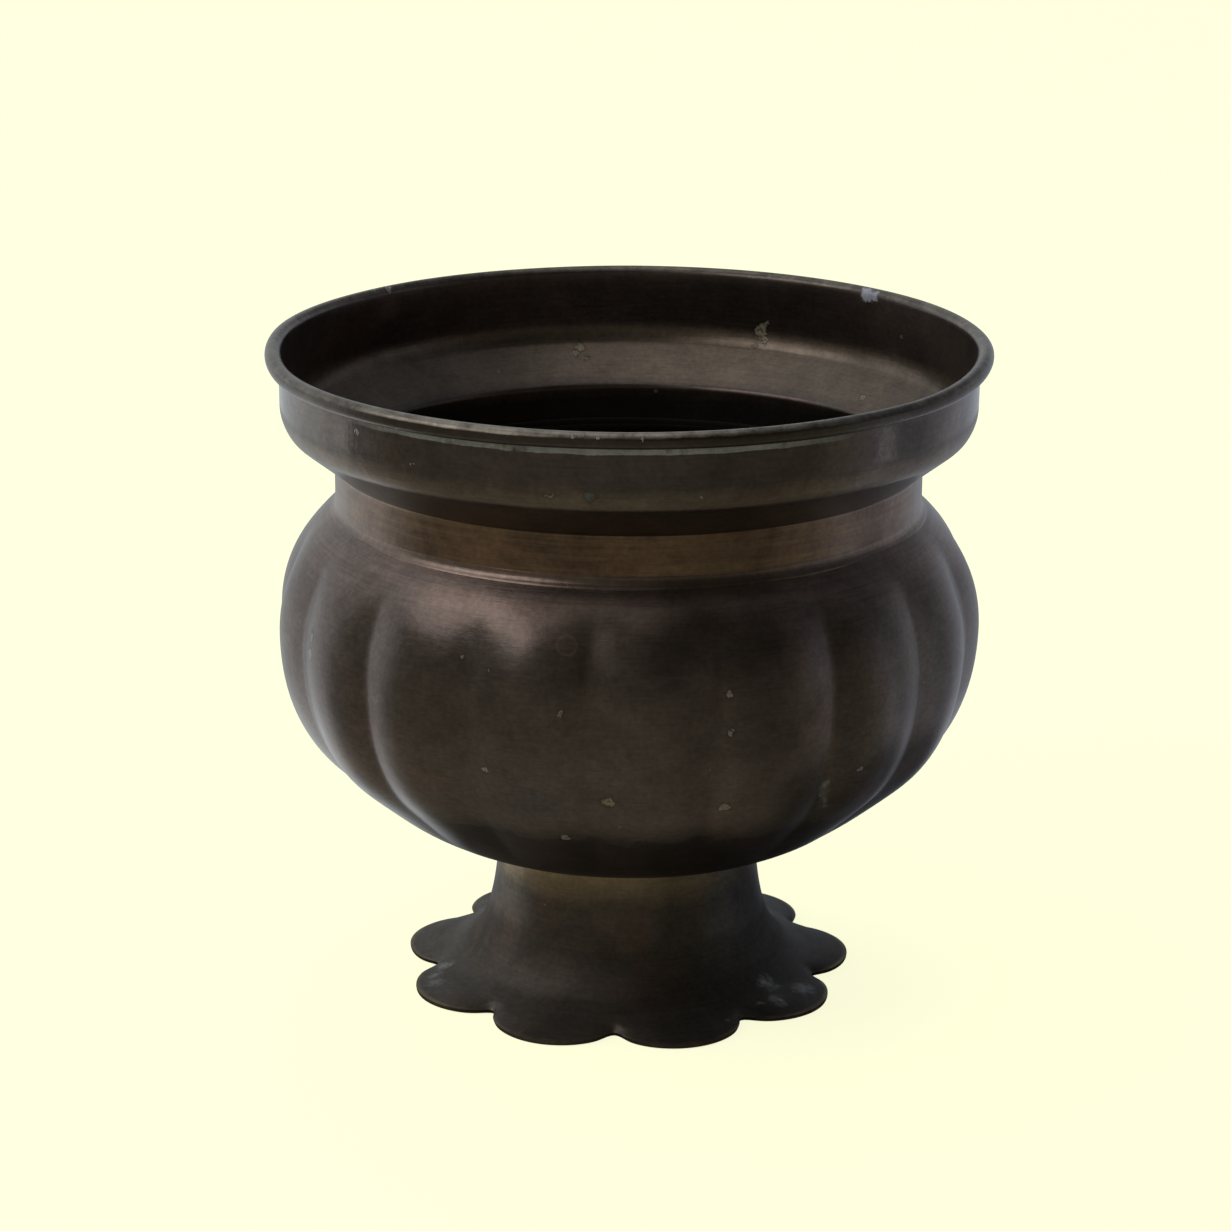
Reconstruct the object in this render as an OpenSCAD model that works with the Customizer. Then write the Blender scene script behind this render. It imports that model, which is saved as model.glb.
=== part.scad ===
// Footed brass bowl with a fluted belly, a turned-out collar and a petal foot.
// The origin is on the ground under the centre of the foot, and +Z is up.
// The bowl, the collar and the foot are thin sheet, joined by two soldered seams.

/* [Rim and collar] */
// Outer diameter over the rolled rim
rim_d = 200; // [196:1:204]
// Height from the ground to the top of the rolled rim
overall_h = 184.5; // [182:0.5:188]
// Diameter of the wire that the rim is rolled around
wire_d = 2.8; // [2:0.2:3.6]
// Outer diameter of the upright band that carries the collar
neck_d = 162.6; // [161:0.2:164]
// Height of the upright band
neck_band_h = 11.6; // [10:0.2:13]
// Height of the collar wall's lower corner above the top of the band
collar_flare_h = 10; // [8:0.5:12]
// How far the collar's flared underside stands out from the band
collar_flare_w = 12.7; // [11:0.1:13]
// Radius of the rounded corner between the flared underside and the wall
corner_r = 11.9; // [10:0.1:14]
// Outer radius of the bend between the band and the flared underside
bend_r = 1.5; // [0.5:0.1:2]

/* [Bowl] */
// Widest diameter, over the flutes
belly_d = 197; // [193:0.5:199]
// Height of the widest point
belly_h = 105; // [102:1:108]
// Height of the seam between the bowl and the collar
seam_h = 139.5; // [138:0.5:141]
// Number of flutes
flute_count = 18; // [12:1:24]
// Depth of the valleys between the flutes
flute_depth = 2.6; // [0.5:0.1:4]
// Height of the bowl's own lip, inside the collar's band
lip_h = 2.5; // [2:0.5:9]
// Thickness of the bowl's and the collar's sheet
sheet_t = 1; // [0.8:0.1:1.2]

/* [Foot] */
// Diameter of the foot where it meets the bowl
foot_top_d = 73; // [70:1:76]
// Height of the bowl's underside, where the foot is soldered on
foot_h = 41.4; // [40:0.2:43]
// Number of petals around the foot
petal_count = 9; // [7:1:11]
// Distance from the axis to the centre of each petal's round end
petal_centre_r = 44.5; // [43:0.5:46]
// Radius of each petal's round end
petal_r = 20; // [19:0.5:20.5]
// How far the foot is turned from the flutes
foot_turn = 2.5; // [-20:0.5:20]
// Thickness of the foot's sheet
foot_t = 1.2; // [1:0.1:1.6]
// Width of the fillet of solder in each seam
solder_w = 0.9; // [0.6:0.1:1.4]

/* [Hidden] */
$fn = 96;

rim_r = rim_d / 2;
wire_r = wire_d / 2;
bead_r = wire_r + sheet_t;
bead_centre_r = rim_r - bead_r;
bead_z = overall_h - bead_r;
wall_r = bead_centre_r - bead_r + sheet_t;
neck_r = neck_d / 2;
lip_r = neck_r - sheet_t;
neck_top_z = seam_h + neck_band_h;
belly_r = belly_d / 2;
foot_top_r = foot_top_d / 2;
petal_tip_r = petal_centre_r + petal_r;
haunch_r = 81.6;
haunch_z = foot_h + 23.8;
// How far the bowl's shoulder comes out and falls from the lip while it is nearly straight
shoulder_run = 13.2;
shoulder_drop = 10.5;
// Steps around each flute, and along each curve of the bowl's outline
flute_steps = 6;
curve_steps = 6;
// Heights on the shoulder between which the flutes fade out
flute_full_z = seam_h - 17;
flute_end_z = seam_h - 3;
// Radii on the underside between which the flutes fade out
flute_root_r = 60;
flute_full_r = 84;

// A point at t along the cubic curve with control points p.
function bezier(p, t) = pow(1 - t, 3) * p[0] + 3 * t * pow(1 - t, 2) * p[1]
    + 3 * t * t * (1 - t) * p[2] + t * t * t * p[3];
// The direction of that curve at t.
function bezier_way(p, t) = let (d = pow(1 - t, 2) * (p[1] - p[0])
    + 2 * t * (1 - t) * (p[2] - p[1]) + t * t * (p[3] - p[2])) d / norm(d);
// 0 below a, 1 above b, and smooth between.
function ease(a, b, x) = let (s = min(1, max(0, (x - a) / (b - a)))) s * s * (3 - 2 * s);

// The bowl's outline over the flute crests, from under the foot to the seam.
under_curve = [[21, foot_h], [59, foot_h], [67.6, foot_h + 13], [haunch_r, haunch_z]];
belly_curve = [[haunch_r, haunch_z], [haunch_r + 10.3, haunch_z + 8],
               [belly_r, belly_h - 17.8], [belly_r, belly_h]];
shoulder_curve = [[belly_r, belly_h], [belly_r, belly_h + 13.2],
                  [lip_r + shoulder_run, seam_h - shoulder_drop], [lip_r, seam_h]];
bowl_curves = [under_curve, belly_curve, shoulder_curve];

// The foot's outer face, from the bowl down and out to the root of the petals,
// which then slope down to a narrow flat at their tips.
petal_root = [petal_centre_r + 8, foot_t + 2.6];
tip_flat = 3;
foot_curve = [[foot_top_r, foot_h], [foot_top_r + 1, foot_h - 19],
              [foot_top_r + 3, petal_root[1] + 3.6], petal_root];
foot_steps = 14;

// A point of the outline set in from the outer face by depth.
function outline_point(curve, t, depth) = let (w = bezier_way(curve, t))
    bezier(curve, t) + depth * [-w[1], w[0]];
// The whole outline at one depth. Each curve leaves out its last point, which the next one starts with.
function bowl_outline(depth) = [for (c = bowl_curves) for (i = [0:curve_steps - 1])
    outline_point(c, i / curve_steps, depth)];
// How deep the valleys are where the outline has the point p.
function valley(p) = flute_depth * ease(flute_end_z, flute_full_z, p[1])
    * ease(flute_root_r, flute_full_r, p[0]);
// One ring of the bowl's wall through the outline's point p, with a sharp valley at each end of a flute.
function flute_ring(p) = [for (i = [0:flute_count * flute_steps - 1])
    let (turn = i * 360 / (flute_count * flute_steps),
         r = p[0] - valley(p) * (1 - abs(sin(turn * flute_count / 2))))
    [r * sin(turn), -r * cos(turn), p[1]]];

// Fluted bowl of one raised sheet, with a plain lip around its mouth.
module bowl() {
    outer = bowl_outline(0);
    inner = bowl_outline(sheet_t);
    lip = [[lip_r, seam_h], [lip_r, seam_h + lip_h], [lip_r - sheet_t, seam_h + lip_h],
           [lip_r - sheet_t, seam_h - 0.5]];
    outline = concat(outer, lip, [for (i = [len(inner) - 1:-1:0]) inner[i]]);
    around = flute_count * flute_steps;
    rings = len(outline);
    points = [for (p = outline) each flute_ring(p)];
    walls = [for (k = [0:rings - 2]) for (i = [0:around - 1]) let (j = (i + 1) % around)
        [k * around + i, (k + 1) * around + i, (k + 1) * around + j, k * around + j]];
    under = [for (i = [0:around - 1]) i];
    floor_ring = [for (i = [around - 1:-1:0]) (rings - 1) * around + i];
    color("#4a3d2c") polyhedron(points, concat(walls, [under], [floor_ring]), convexity = 6);
}

// Everything within the collar's outer face, or within its inner face when set_in is the sheet's thickness:
// an upright band, a bend, a flared underside, a rounded corner and a plain wall.
module within_collar(set_in) {
    flare_end = [neck_r + collar_flare_w, neck_top_z + collar_flare_h];
    corner_centre = [wall_r - corner_r, flare_end[1] + sqrt(pow(corner_r, 2)
        - pow(flare_end[0] - wall_r + corner_r, 2))];
    slope = atan2(collar_flare_h, collar_flare_w);
    inwards = [-sin(slope), cos(slope)];
    bend_centre = [neck_r + bend_r, neck_top_z - bend_r * (1 - sin(slope)) / cos(slope)];
    corner_foot = flare_end + set_in * inwards;
    difference() {
        union() {
            // Band and flared underside
            polygon([[0, seam_h - set_in], [neck_r - set_in, seam_h - set_in],
                     [neck_r - set_in, bend_centre[1]], bend_centre,
                     bend_centre + (bend_r + set_in) * inwards, corner_foot,
                     [corner_foot[0], corner_centre[1]], [0, corner_centre[1]]]);
            // Rounded corner
            intersection() {
                translate(corner_centre) circle(corner_r - set_in);
                translate([0, corner_foot[1]]) square([rim_r, corner_r]);
            }
            // Wall
            translate([0, corner_centre[1]]) square([wall_r - set_in, bead_z - corner_centre[1] + set_in]);
        }
        translate(bend_centre) circle(bend_r + set_in);
    }
}

// Collar spun from one sheet, with its rim rolled outwards around the wire.
module collar() {
    color("#55452f") rotate_extrude() difference() {
        union() {
            difference() {
                within_collar(0);
                within_collar(sheet_t);
            }
            translate([bead_centre_r, bead_z]) circle(bead_r);
        }
        translate([bead_centre_r, bead_z]) circle(wire_r);
    }
}

// Iron wire that fills the rolled rim and stiffens it.
module rim_wire() {
    color("#6b6660") rotate_extrude() translate([bead_centre_r, bead_z]) circle(wire_r);
}

// Fillet of solder around the seam between the collar's band and the bowl's shoulder.
module neck_solder() {
    fall = (sheet_t + solder_w) * shoulder_drop / shoulder_run;
    color("#5d4a2c") rotate_extrude()
        polygon([[lip_r, seam_h], [neck_r + solder_w, seam_h - fall], [neck_r, seam_h + solder_w],
                 [neck_r, seam_h]]);
}

// Petal-edged outline of the foot, seen from above.
module petals() {
    circle(petal_centre_r + 5);
    for (i = [0:petal_count - 1]) rotate((i + 0.5) * 360 / petal_count - 90 + foot_turn)
        translate([petal_centre_r, 0]) circle(petal_r);
}

// Trumpet foot of one sheet, cut into round petals where it lies on the ground.
module foot() {
    outer = [for (i = [0:foot_steps]) bezier(foot_curve, i / foot_steps)];
    inner = [for (i = [foot_steps:-1:0]) outline_point(foot_curve, i / foot_steps, -foot_t)];
    color("#4d4030") intersection() {
        rotate_extrude() polygon(concat(outer, [[petal_tip_r - tip_flat, foot_t], [petal_tip_r + 1, foot_t],
            [petal_tip_r + 1, 0], [petal_tip_r - tip_flat, 0]], inner));
        linear_extrude(foot_h + 1) petals();
    }
}

// Fillet of solder around the seam between the bowl's underside and the foot.
module foot_solder() {
    color("#6a5330") rotate_extrude()
        polygon([[foot_top_r, foot_h], [foot_top_r, foot_h - solder_w], [foot_top_r + solder_w, foot_h]]);
}

bowl();
collar();
rim_wire();
neck_solder();
foot();
foot_solder();
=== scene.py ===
import math

import bpy
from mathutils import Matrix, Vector


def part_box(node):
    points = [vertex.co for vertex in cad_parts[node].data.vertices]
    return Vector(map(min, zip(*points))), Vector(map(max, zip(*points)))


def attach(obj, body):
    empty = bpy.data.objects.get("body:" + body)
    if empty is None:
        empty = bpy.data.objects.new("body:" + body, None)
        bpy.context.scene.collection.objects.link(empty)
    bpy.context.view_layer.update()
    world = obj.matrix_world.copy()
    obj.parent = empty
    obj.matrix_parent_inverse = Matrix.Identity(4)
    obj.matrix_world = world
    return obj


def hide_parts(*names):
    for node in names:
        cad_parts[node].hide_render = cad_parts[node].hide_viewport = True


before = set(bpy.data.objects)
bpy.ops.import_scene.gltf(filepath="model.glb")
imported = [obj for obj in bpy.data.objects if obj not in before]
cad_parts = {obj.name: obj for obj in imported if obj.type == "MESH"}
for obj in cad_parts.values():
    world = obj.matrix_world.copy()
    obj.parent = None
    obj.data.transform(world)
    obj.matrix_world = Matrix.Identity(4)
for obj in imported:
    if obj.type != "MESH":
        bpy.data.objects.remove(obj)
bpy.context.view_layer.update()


# ---------------------------------------------------------------- camera
# A long lens a metre away, a little to the right of the front valley, looking down on the rim.
SHOT_AZIMUTH = math.radians(5.9)
SHOT_DISTANCE = 0.9508
SHOT_HEIGHT = 0.4013
SHOT_TILT = math.radians(17.33)
SHOT_PAN = math.radians(0.21)
SHOT_LENS = 103.7

camera_data = bpy.data.cameras.new("camera")
camera_data.lens = SHOT_LENS
camera_data.sensor_width = 36
camera_data.clip_start = 0.05
camera = bpy.data.objects.new("camera", camera_data)
bpy.context.collection.objects.link(camera)
camera.location = (SHOT_DISTANCE * math.sin(SHOT_AZIMUTH), -SHOT_DISTANCE * math.cos(SHOT_AZIMUTH),
                   SHOT_HEIGHT)
camera.rotation_euler = (math.radians(90) - SHOT_TILT, 0, SHOT_AZIMUTH + SHOT_PAN)
camera.rotation_euler.rotate_axis("Z", SHOT_PAN)
bpy.context.scene.camera = camera


# ---------------------------------------------------------------- bowl
# The belly: one round of brass sheet, raised and drawn in at the shoulder, then pressed from inside into
# eighteen round flutes with a sharp valley between each pair. Its lip stands up inside the collar's band.
FLUTES = 18
STEPS_PER_FLUTE = 6
FLUTE_DEPTH = 0.0026
SHEET = 0.001
bowl_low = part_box("bowl")[0]
BELLY_R = 0.0985
BELLY_Z = 0.105
SEAM_Z = 0.1395
LIP_R = 0.0803
FLOOR_Z = bowl_low.z
HAUNCH = (0.0816, FLOOR_Z + 0.0238)


def curve_points(ends, steps):
    """Points along the cubic curve with the four control points ends, without its last point."""
    points = []
    for i in range(steps):
        t = i / steps
        weights = ((1 - t) ** 3, 3 * t * (1 - t) ** 2, 3 * t * t * (1 - t), t ** 3)
        points.append(tuple(sum(w * p[axis] for w, p in zip(weights, ends)) for axis in (0, 1)))
    return points


def ease(low, high, value):
    """0 below low, 1 above high and smooth between."""
    share = min(1, max(0, (value - low) / (high - low)))
    return share * share * (3 - 2 * share)


def edit(piece, *, verts=None, edges=None, faces=None):
    """Goes into edit mode on the piece with only the named kind of element that passes the test selected."""
    bpy.ops.object.mode_set(mode="OBJECT")
    bpy.ops.object.select_all(action="DESELECT")
    bpy.context.view_layer.objects.active = piece
    piece.select_set(True)
    bpy.ops.object.mode_set(mode="EDIT")
    kind = "VERT" if verts else "EDGE" if edges else "FACE"
    bpy.ops.mesh.select_mode(type=kind)
    bpy.ops.mesh.select_all(action="DESELECT")
    bpy.ops.object.mode_set(mode="OBJECT")
    mesh = piece.data
    for element in (mesh.vertices if verts else mesh.edges if edges else mesh.polygons):
        if verts:
            element.select = verts(element.co)
        elif edges:
            a, b = (mesh.vertices[i].co for i in element.vertices)
            element.select = edges(a, b)
        else:
            element.select = faces(element.center, element.normal)
    bpy.ops.object.mode_set(mode="EDIT")


def spun(name, outline, steps, turn_over=False):
    """A surface spun round the upright axis from an outline of (radius, height) points. An open surface may
    come out facing inwards, and is then turned over."""
    bpy.ops.object.select_all(action="DESELECT")
    bpy.ops.mesh.primitive_plane_add(size=0.001, location=(0, 0, 0))
    piece = bpy.context.object
    piece.name = piece.data.name = name
    bpy.ops.object.mode_set(mode="EDIT")
    bpy.ops.mesh.select_mode(type="VERT")
    bpy.ops.mesh.select_all(action="SELECT")
    bpy.ops.mesh.merge(type="CENTER")
    first_r, first_z = outline[0]
    bpy.ops.transform.translate(value=(0, -first_r, first_z))
    for (r0, z0), (r1, z1) in zip(outline, outline[1:]):
        bpy.ops.mesh.extrude_region_move(TRANSFORM_OT_translate={"value": (0, r0 - r1, z1 - z0)})
    bpy.ops.mesh.select_all(action="SELECT")
    bpy.ops.mesh.spin(steps=steps, angle=math.tau, center=(0, 0, 0), axis=(0, 0, 1))
    bpy.ops.mesh.select_all(action="SELECT")
    bpy.ops.mesh.remove_doubles(threshold=1e-6)
    bpy.ops.mesh.normals_make_consistent(inside=False)
    if turn_over:
        bpy.ops.mesh.flip_normals()
    bpy.ops.object.mode_set(mode="OBJECT")
    return piece


def apply_all(piece):
    """Applies the piece's modifiers, in their order."""
    bpy.ops.object.mode_set(mode="OBJECT")
    bpy.ops.object.select_all(action="DESELECT")
    bpy.context.view_layer.objects.active = piece
    piece.select_set(True)
    for modifier in list(piece.modifiers):
        bpy.ops.object.modifier_apply(modifier=modifier.name)


def sheet_metal(piece, thickness, rounds, waviness, wave_size, edge=0.0):
    """Gives the surface its thickness inwards, smooths it and leaves it as uneven as hand work is. The
    higher edge is, the sharper its cut edges stay."""
    wall = piece.modifiers.new("wall", "SOLIDIFY")
    wall.thickness = thickness
    wall.offset = -1
    wall.use_even_offset = True
    wall.edge_crease_outer = wall.edge_crease_inner = edge
    smooth = piece.modifiers.new("smooth", "SUBSURF")
    smooth.levels = smooth.render_levels = rounds
    waves = bpy.data.textures.new(piece.name + "_waves", "CLOUDS")
    waves.noise_scale = wave_size
    waves.noise_depth = 1
    uneven = piece.modifiers.new("uneven", "DISPLACE")
    uneven.texture = waves
    uneven.texture_coords = "LOCAL"
    uneven.direction = "NORMAL"
    uneven.mid_level = 0.5
    uneven.strength = waviness
    apply_all(piece)
    bpy.ops.object.shade_smooth_by_angle(angle=math.radians(60))


def turn_of(point):
    """How far round the axis a point is, in degrees from the front, towards the right."""
    return math.degrees(math.atan2(point[0], -point[1]))


bowl_outline = (
    [(0.008, FLOOR_Z)]
    + curve_points([(0.021, FLOOR_Z), (0.059, FLOOR_Z), (0.0676, FLOOR_Z + 0.013), HAUNCH], 6)
    + curve_points([HAUNCH, (HAUNCH[0] + 0.0103, HAUNCH[1] + 0.008), (BELLY_R, BELLY_Z - 0.0178),
                    (BELLY_R, BELLY_Z)], 6)
    + curve_points([(BELLY_R, BELLY_Z), (BELLY_R, BELLY_Z + 0.0132), (LIP_R + 0.0132, SEAM_Z - 0.0105),
                    (LIP_R, SEAM_Z)], 6)
    + [(LIP_R, SEAM_Z), (LIP_R - 0.0001, SEAM_Z + 0.001), (LIP_R - 0.0001, SEAM_Z + 0.0025)]
)
bowl = spun("bowl_body", bowl_outline, FLUTES * STEPS_PER_FLUTE)

edit(bowl, verts=lambda co: co.xy.length < 0.0081)
bpy.ops.mesh.extrude_region_move(TRANSFORM_OT_translate={"value": (0, 0, 0)})
bpy.ops.mesh.merge(type="CENTER")

# The valleys are pressed in line by line, none at the seam or near the foot and full between
for ring_r, ring_z in bowl_outline:
    depth = FLUTE_DEPTH * ease(SEAM_Z - 0.003, SEAM_Z - 0.019, ring_z) * ease(0.060, 0.084, ring_r)
    if depth == 0:
        continue
    for step in range(STEPS_PER_FLUTE):
        share = 1 - math.sin(math.pi * step / STEPS_PER_FLUTE)
        if share < 0.01:
            continue

        def on_line(co):
            turn = (turn_of(co) * FLUTES / 360) % 1 * STEPS_PER_FLUTE
            at_turn = min(abs(turn - step), abs(turn - step - STEPS_PER_FLUTE)) < 0.05
            return at_turn and abs(co.z - ring_z) < 1e-5 and abs(co.xy.length - ring_r) < 1e-5

        edit(bowl, verts=on_line)
        squeeze = (ring_r - depth * share) / ring_r
        bpy.ops.transform.resize(value=(squeeze, squeeze, 1), center_override=(0, 0, 0))


def in_valley(a, b):
    """Whether the edge from a to b runs down a valley."""
    turns = [(turn_of(co) * FLUTES / 360) % 1 for co in (a, b)]
    on_body = a.xy.length > 0.066 and max(a.z, b.z) < SEAM_Z - 0.006
    return all(min(t, 1 - t) < 0.01 for t in turns) and on_body


edit(bowl, edges=in_valley)
bpy.ops.transform.edge_crease(value=0.9)
bpy.ops.object.mode_set(mode="OBJECT")
sheet_metal(bowl, SHEET, 2, 0.0005, 0.045)


def node(tree, kind, **settings):
    """Adds a shader node; settings are its properties."""
    made = tree.nodes.new("ShaderNode" + kind)
    for key, value in settings.items():
        setattr(made, key, value)
    return made


def ramp(tree, source, stops):
    """A colour ramp on the source, with stops of (place, grey or colour)."""
    made = tree.nodes.new("ShaderNodeValToRGB")
    tree.links.new(source, made.inputs["Fac"])
    elements = made.color_ramp.elements
    while len(elements) < len(stops):
        elements.new(0.5)
    for element, (place, colour) in zip(elements, stops):
        element.position = place
        element.color = (colour, colour, colour, 1) if isinstance(colour, (int, float)) else (*colour, 1)
    return made.outputs["Color"]


def blend(tree, mode, amount, low, high):
    """Mixes two colours or numbers; amount, low and high are sockets or plain values."""
    made = tree.nodes.new("ShaderNodeMix")
    made.data_type = "RGBA"
    made.blend_type = mode
    for socket, value in ((made.inputs[0], amount), (made.inputs[6], low), (made.inputs[7], high)):
        if isinstance(value, bpy.types.NodeSocket):
            tree.links.new(value, socket)
        elif isinstance(value, (int, float)) and socket.type == "RGBA":
            socket.default_value = (value, value, value, 1)
        elif isinstance(value, (int, float)):
            socket.default_value = value
        else:
            socket.default_value = (*value, 1)
    return made.outputs[2]


def maths(tree, operation, a, b=0.0, clamp=False):
    """The sum, product or the like of a and b, which are sockets or plain numbers."""
    made = tree.nodes.new("ShaderNodeMath")
    made.operation = operation
    made.use_clamp = clamp
    for socket, value in zip(made.inputs, (a, b)):
        if isinstance(value, bpy.types.NodeSocket):
            tree.links.new(value, socket)
        else:
            socket.default_value = value
    return made.outputs[0]


def between(tree, share, low, high):
    """A number that goes from low to high as share goes from 0 to 1."""
    made = node(tree, "Mix")
    for socket, value in ((made.inputs[0], share), (made.inputs[2], low), (made.inputs[3], high)):
        if isinstance(value, bpy.types.NodeSocket):
            tree.links.new(value, socket)
        else:
            socket.default_value = value
    return made.outputs[0]


def old_brass(name, dark, middle, worn, roughness=0.30):
    """Tarnished brass: brown oxide in clouds and blotches, with greener and redder places, faint lines from
    spinning, and pale specks. Returns its sockets, for the marks each piece adds before settle()."""
    material = bpy.data.materials.new(name)
    material.use_nodes = True
    tree = material.node_tree
    link = tree.links.new
    place = node(tree, "TexCoord").outputs["Object"]
    split = node(tree, "SeparateXYZ")
    link(place, split.inputs[0])
    flat = node(tree, "CombineXYZ")
    link(split.outputs["X"], flat.inputs["X"])
    link(split.outputs["Y"], flat.inputs["Y"])
    length = node(tree, "VectorMath", operation="LENGTH")
    link(flat.outputs[0], length.inputs[0])
    radius, height = length.outputs["Value"], split.outputs["Z"]

    def noise(scale, detail, rough=0.55, distortion=0.0, output="Fac", offset=0.0):
        """Cloudy noise, scale times in a metre. Patterns at different offsets have nothing in common."""
        shifted = node(tree, "VectorMath", operation="ADD")
        link(place, shifted.inputs[0])
        shifted.inputs[1].default_value = (offset, offset, offset)
        made = node(tree, "TexNoise")
        made.inputs["Scale"].default_value = scale
        made.inputs["Detail"].default_value = detail
        made.inputs["Roughness"].default_value = rough
        made.inputs["Distortion"].default_value = distortion
        link(shifted.outputs[0], made.inputs["Vector"])
        return made.outputs[output]

    def rubbed(across, along, detail):
        """Noise drawn out round the axis: across and along are how often it changes in a metre."""
        made = node(tree, "CombineXYZ")
        for source, target in ((split.outputs["X"], "X"), (split.outputs["Y"], "Y")):
            link(maths(tree, "MULTIPLY", source, along), made.inputs[target])
        link(maths(tree, "MULTIPLY", radius, across), made.inputs["Z"])
        drawn = node(tree, "TexNoise")
        drawn.noise_dimensions = "4D"
        drawn.inputs["Scale"].default_value = 1
        drawn.inputs["Detail"].default_value = detail
        drawn.inputs["Roughness"].default_value = 0.7
        link(made.outputs[0], drawn.inputs["Vector"])
        link(maths(tree, "MULTIPLY", height, across), drawn.inputs["W"])
        return drawn.outputs["Fac"]

    clouds = noise(15, 5, 0.6, 0.6)
    blotches = noise(52, 6, 0.65, 0.8)
    spots = noise(170, 4, 0.6, 0.3)
    grain = noise(720, 3, 0.6)
    lines = rubbed(650, 22, 3)
    scratches = rubbed(1700, 90, 3)

    colour = ramp(tree, clouds, [(0.32, dark), (0.5, middle), (0.68, worn)])
    green = ramp(tree, noise(24, 5, 0.6, 0.5, offset=0.7), [(0.52, 0.0), (0.68, 0.45)])
    colour = blend(tree, "MIX", green, colour, tuple(c * k for c, k in zip(middle, (0.80, 0.92, 0.80))))
    copper = ramp(tree, noise(30, 6, 0.65, 0.5, offset=1.9), [(0.55, 0.0), (0.72, 0.6)])
    colour = blend(tree, "MIX", copper, colour, tuple(c * k for c, k in zip(worn, (1.12, 0.88, 0.84))))
    mottling = None
    for pattern, low, high in ((blotches, 0.89, 1.12), (spots, 0.91, 1.10), (grain, 0.90, 1.11),
                               (scratches, 0.90, 1.10)):
        share = ramp(tree, pattern, [(0.34, 0), (0.66, 1)])
        shade = maths(tree, "ADD", low, maths(tree, "MULTIPLY", share, high - low))
        mottling = shade if mottling is None else maths(tree, "MULTIPLY", mottling, shade)

    # Pale specks of dried water and dust, about one to the square centimetre
    cells = node(tree, "TexVoronoi")
    cells.inputs["Scale"].default_value = 260
    link(place, cells.inputs["Vector"])
    chosen = node(tree, "SeparateColor")
    link(cells.outputs["Color"], chosen.inputs[0])
    rare = maths(tree, "GREATER_THAN", chosen.outputs[0], 0.90)
    size = maths(tree, "MULTIPLY", chosen.outputs[1], 0.16)
    specks = maths(tree, "MULTIPLY", rare, maths(tree, "LESS_THAN", cells.outputs["Distance"], size))
    specks = maths(tree, "MULTIPLY", specks, chosen.outputs[2])
    rough = maths(tree, "ADD", roughness - 0.10, maths(tree, "MULTIPLY", blotches, 0.12))
    rough = maths(tree, "ADD", rough, maths(tree, "MULTIPLY", scratches, 0.10))
    rough = maths(tree, "ADD", rough, maths(tree, "MULTIPLY", specks, 0.3), clamp=True)

    # Marks take their ragged outlines from a place that wanders by about a millimetre
    wander = node(tree, "VectorMath", operation="SUBTRACT")
    link(noise(330, 3, 0.6, output="Color"), wander.inputs[0])
    wander.inputs[1].default_value = (0.5, 0.5, 0.5)
    ragged = node(tree, "VectorMath", operation="MULTIPLY_ADD")
    link(wander.outputs[0], ragged.inputs[0])
    ragged.inputs[1].default_value = (0.005, 0.005, 0.005)
    link(place, ragged.inputs[2])

    return {"material": material, "tree": tree, "colour": colour, "rough": rough, "metal": 0.9, "bumps": 0.0,
            "radius": radius, "height": height, "place": place, "ragged": ragged.outputs[0], "noise": noise,
            "blotches": blotches, "spots": spots, "grain": grain, "lines": lines, "scratches": scratches,
            "mottling": mottling, "specks": specks}


def lay_over(finish, share, colour, rough=None, metal=None, bump=0.0):
    """Lays a stain, a worn place or residue over the finish where share is 1."""
    tree = finish["tree"]
    if colour is not None:
        finish["colour"] = blend(tree, "MIX", share, finish["colour"], colour)
    if rough is not None:
        finish["rough"] = between(tree, share, finish["rough"], rough)
    if metal is not None:
        finish["metal"] = between(tree, share, finish["metal"], metal)
    if bump:
        finish["bumps"] = maths(tree, "ADD", finish["bumps"], maths(tree, "MULTIPLY", share, bump))


def distance_from(finish, turn, radius, height):
    """How far a place is from the one at that turn, radius and height, with a millimetre's raggedness."""
    gap = node(finish["tree"], "VectorMath", operation="DISTANCE")
    finish["tree"].links.new(finish["ragged"], gap.inputs[0])
    angle = math.radians(turn)
    gap.inputs[1].default_value = (radius * math.sin(angle), -radius * math.cos(angle), height)
    return gap.outputs["Value"]


def chip_at(finish, turn, radius, height, size, colour):
    """A chip or a dried drop: a pale crust with a ragged edge, duller in its middle, and a dark halo."""
    tree = finish["tree"]
    away = maths(tree, "DIVIDE", distance_from(finish, turn, radius, height), size)
    away = maths(tree, "ADD", away, maths(tree, "MULTIPLY", finish["grain"], 0.5))
    away = maths(tree, "MULTIPLY", away, 0.5)
    crust = ramp(tree, away, [(0.20, 0.35), (0.34, 1.0), (0.46, 0.85), (0.58, 0.0)])
    halo = ramp(tree, away, [(0.5, 0.55), (0.85, 0.0)])
    lay_over(finish, halo, (0.085, 0.065, 0.052))
    lay_over(finish, crust, colour, rough=0.6, metal=0.3, bump=0.6)


def spot_at(finish, turn, radius, height, size, soft=0.3):
    """1 within size of the place at that turn, radius and height, with a ragged edge, and 0 outside."""
    tree = finish["tree"]
    away = maths(tree, "DIVIDE", distance_from(finish, turn, radius, height), size * 2)
    return ramp(tree, away, [(0.5 * (1 - soft), 1.0), (0.5, 0.0)])


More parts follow.
